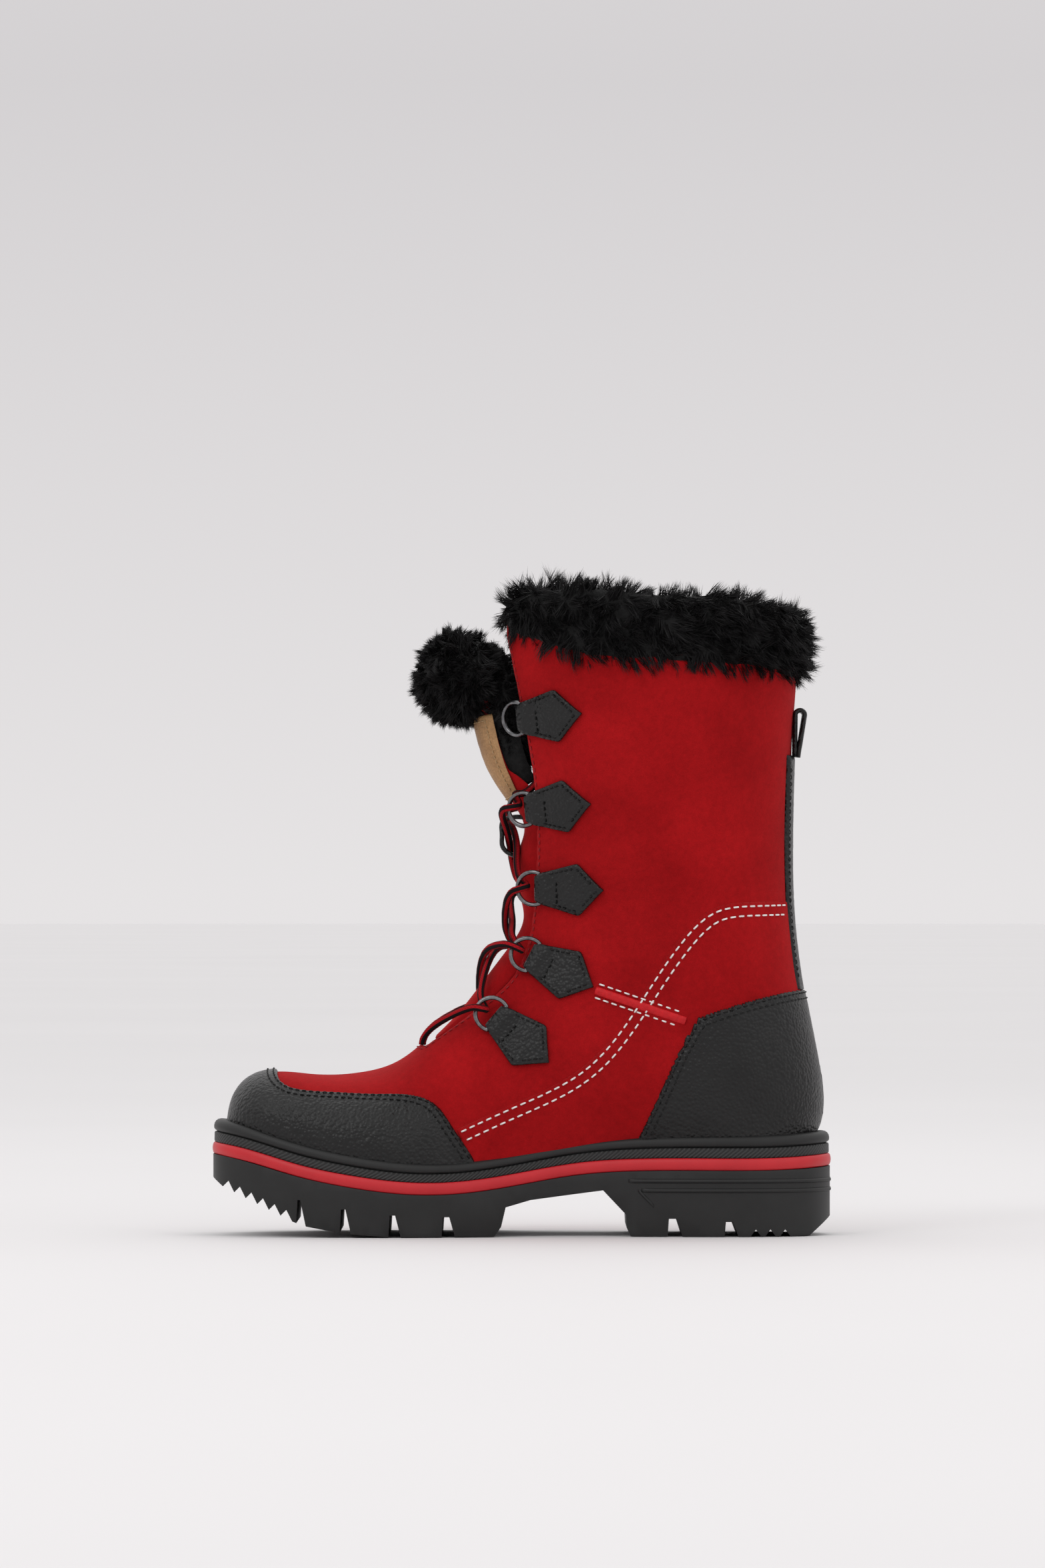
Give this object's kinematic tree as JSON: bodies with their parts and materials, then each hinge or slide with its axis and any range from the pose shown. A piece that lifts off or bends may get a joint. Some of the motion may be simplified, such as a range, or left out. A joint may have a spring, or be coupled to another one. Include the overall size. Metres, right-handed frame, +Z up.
{
  "type": "winter boot",
  "caption": "Right lace-up winter boot with a lugged rubber sole, suede shaft, wire lacing rings on leather tabs, folding tongue and pile-trimmed collar.",
  "frame": {"origin": "on the ground, under the middle of the boot's own box", "axes": "+Z up, toe towards -X, heel towards +X, inner side of the foot towards -Y"},
  "size_m": [0.288, 0.114, 0.3062],
  "materials": {
    "black_leather": "grained black leather",
    "ring_metal": "polished gunmetal wire",
    "lace_cord": "braided red and black cord",
    "red_suede": "red nubuck suede",
    "red_piping": "smooth red piping",
    "black_fur": "black shearling",
    "pile_lining": "short black pile",
    "tan_leather": "plain tan leather",
    "black_rubber": "matt moulded black rubber",
    "red_rubber": "satin red rubber",
    "sole_filler": "foam",
    "spring_steel": "bare steel strip",
    "fibre_board": "pressed fibre",
    "felt": "felt"
  },
  "bodies": {
    "root": {"ankle_strap_lateral": "red_piping", "ankle_strap_medial": "red_piping", "back_strip": "black_leather", "footbed": "felt", "fur_collar": "black_fur", "heel_counter": "fibre_board", "heel_rand": "black_leather", "insole_board": "fibre_board", "lace_keeper": "black_leather", "lace_lateral": "lace_cord", "lace_medial": "lace_cord", "lining_heel": "pile_lining", "lining_shaft": "pile_lining", "lining_vamp": "pile_lining", "midsole_filler": "sole_filler", "midsole_stripe": "red_rubber", "outsole": "black_rubber", "quarter_panel": "red_suede", "shaft_panel_lateral": "red_suede", "shaft_panel_medial": "red_suede", "shank": "spring_steel", "tab_lateral_1": "black_leather", "tab_lateral_2": "black_leather", "tab_lateral_3": "black_leather", "tab_lateral_4": "black_leather", "tab_lateral_5": "black_leather", "tab_medial_1": "black_leather", "tab_medial_2": "black_leather", "tab_medial_3": "black_leather", "tab_medial_4": "black_leather", "tab_medial_5": "black_leather", "toe_cap": "black_leather", "toe_puff": "fibre_board", "tongue_lower": "red_suede", "vamp": "red_suede", "welt": "black_rubber"},
    "tongue_top": {"tongue_upper": "red_suede", "tongue_patch": "tan_leather", "tongue_fur": "black_fur", "tongue_lining": "black_fur"},
    "pull_loop": {"pull_loop": "black_leather"},
    "d_ring_lateral_1": {"d_ring_lateral_1": "ring_metal"},
    "d_ring_lateral_2": {"d_ring_lateral_2": "ring_metal"},
    "d_ring_lateral_3": {"d_ring_lateral_3": "ring_metal"},
    "d_ring_lateral_4": {"d_ring_lateral_4": "ring_metal"},
    "d_ring_lateral_5": {"d_ring_lateral_5": "ring_metal"},
    "d_ring_medial_1": {"d_ring_medial_1": "ring_metal"},
    "d_ring_medial_2": {"d_ring_medial_2": "ring_metal"},
    "d_ring_medial_3": {"d_ring_medial_3": "ring_metal"},
    "d_ring_medial_4": {"d_ring_medial_4": "ring_metal"},
    "d_ring_medial_5": {"d_ring_medial_5": "ring_metal"}
  },
  "joints": [
    {"name": "tongue_fold", "type": "hinge", "parent": "root", "child": "tongue_top", "pos_m": [-0.004, 0, 0.1955], "axis": [0, -1, 0], "range_deg": [0, 40]},
    {"name": "pull_loop_swing", "type": "hinge", "parent": "root", "child": "pull_loop", "pos_m": [0.1292, 0, 0.2232], "axis": [0, 1, 0], "range_deg": [0, 50]},
    {"name": "d_ring_medial_1_swivel", "type": "hinge", "parent": "root", "child": "d_ring_medial_1", "pos_m": [-0.00046, -0.02601, 0.2403], "axis": [-0.1079, -0.0662, 0.992], "range_deg": [-6, 55]},
    {"name": "d_ring_lateral_1_swivel", "type": "hinge", "parent": "root", "child": "d_ring_lateral_1", "pos_m": [-0.00046, 0.02601, 0.2403], "axis": [0.1079, -0.0662, -0.992], "range_deg": [-6, 55]},
    {"name": "d_ring_medial_2_swivel", "type": "hinge", "parent": "root", "child": "d_ring_medial_2", "pos_m": [0.00335, -0.02322, 0.19826], "axis": [-0.0973, -0.041, 0.9944], "range_deg": [-4, 4]},
    {"name": "d_ring_lateral_2_swivel", "type": "hinge", "parent": "root", "child": "d_ring_lateral_2", "pos_m": [0.00335, 0.02322, 0.19826], "axis": [0.0973, -0.041, -0.9944], "range_deg": [-4, 4]},
    {"name": "d_ring_medial_3_swivel", "type": "hinge", "parent": "root", "child": "d_ring_medial_3", "pos_m": [0.00797, -0.02328, 0.16123], "axis": [-0.0126, -0.0876, 0.9961], "range_deg": [-4, 4]},
    {"name": "d_ring_lateral_3_swivel", "type": "hinge", "parent": "root", "child": "d_ring_lateral_3", "pos_m": [0.00797, 0.02328, 0.16123], "axis": [0.0126, -0.0876, -0.9961], "range_deg": [-4, 4]},
    {"name": "d_ring_medial_4_swivel", "type": "hinge", "parent": "root", "child": "d_ring_medial_4", "pos_m": [0.00514, -0.02418, 0.12927], "axis": [0.453, 0.0568, 0.8897], "range_deg": [-4, 4]},
    {"name": "d_ring_lateral_4_swivel", "type": "hinge", "parent": "root", "child": "d_ring_lateral_4", "pos_m": [0.00514, 0.02417, 0.12927], "axis": [-0.4532, 0.0572, -0.8896], "range_deg": [-4, 4]},
    {"name": "d_ring_medial_5_swivel", "type": "hinge", "parent": "root", "child": "d_ring_medial_5", "pos_m": [-0.0117, -0.0272, 0.10101], "axis": [0.6495, 0.015, 0.7603], "range_deg": [-4, 4]},
    {"name": "d_ring_lateral_5_swivel", "type": "hinge", "parent": "root", "child": "d_ring_lateral_5", "pos_m": [-0.01162, 0.02823, 0.10115], "axis": [-0.6739, 0.0718, -0.7353], "range_deg": [-4, 4]}
  ]
}
